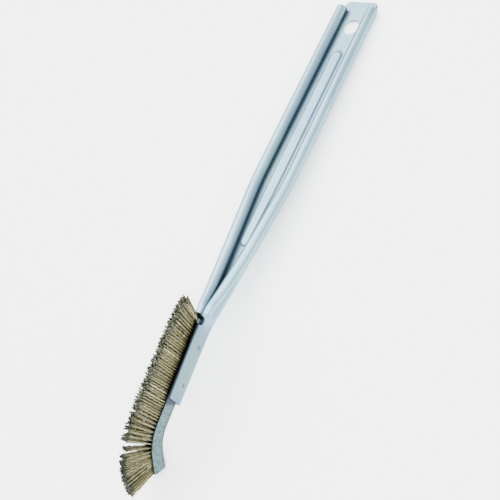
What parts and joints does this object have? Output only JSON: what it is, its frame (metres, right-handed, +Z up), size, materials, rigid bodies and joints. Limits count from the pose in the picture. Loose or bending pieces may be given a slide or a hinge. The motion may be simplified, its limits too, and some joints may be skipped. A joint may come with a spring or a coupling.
{
  "type": "wire brush",
  "caption": "Narrow hand wire brush: folded sheet-metal handle with rolled edges, clamped metal-channel brush strip, curved-back tip.",
  "frame": {"origin": "middle of the footprint, on the surface that the brush lies on", "axes": "+X along the brush towards the tail with the hanging hole, +Y across the handle, +Z up, the way the bristles point"},
  "size_m": [0.2184, 0.019, 0.0303],
  "materials": {
    "zinc_sheet": "satin, bright zinc-plated sheet steel",
    "strip_steel": "satin, slightly mottled galvanised strip",
    "core_steel": "plain drawn wire",
    "bristle_wire": "brass-coated crimped steel wire with bare cut ends"
  },
  "bodies": {
    "root": {"handle": "zinc_sheet", "strip_channel": "strip_steel", "core_wire": "core_steel", "bristle_bundle_01": "bristle_wire", "bristle_bundle_02": "bristle_wire", "bristle_bundle_03": "bristle_wire", "bristle_bundle_04": "bristle_wire", "bristle_bundle_05": "bristle_wire", "bristle_bundle_06": "bristle_wire", "bristle_bundle_07": "bristle_wire", "bristle_bundle_08": "bristle_wire", "bristle_bundle_09": "bristle_wire", "bristle_bundle_10": "bristle_wire", "bristle_bundle_11": "bristle_wire", "bristle_bundle_12": "bristle_wire", "bristle_bundle_13": "bristle_wire", "bristle_bundle_14": "bristle_wire", "bristle_bundle_15": "bristle_wire", "bristle_bundle_16": "bristle_wire", "bristle_bundle_17": "bristle_wire", "bristle_bundle_18": "bristle_wire", "bristle_bundle_19": "bristle_wire", "bristle_bundle_20": "bristle_wire", "bristle_bundle_21": "bristle_wire", "bristle_bundle_22": "bristle_wire", "bristle_bundle_23": "bristle_wire", "bristle_bundle_24": "bristle_wire", "bristle_bundle_25": "bristle_wire", "bristle_bundle_26": "bristle_wire", "bristle_bundle_27": "bristle_wire", "bristle_bundle_28": "bristle_wire", "bristle_bundle_29": "bristle_wire", "bristle_bundle_30": "bristle_wire", "bristle_bundle_31": "bristle_wire", "bristle_bundle_32": "bristle_wire", "bristle_bundle_33": "bristle_wire", "bristle_bundle_34": "bristle_wire"}
  },
  "joints": []
}
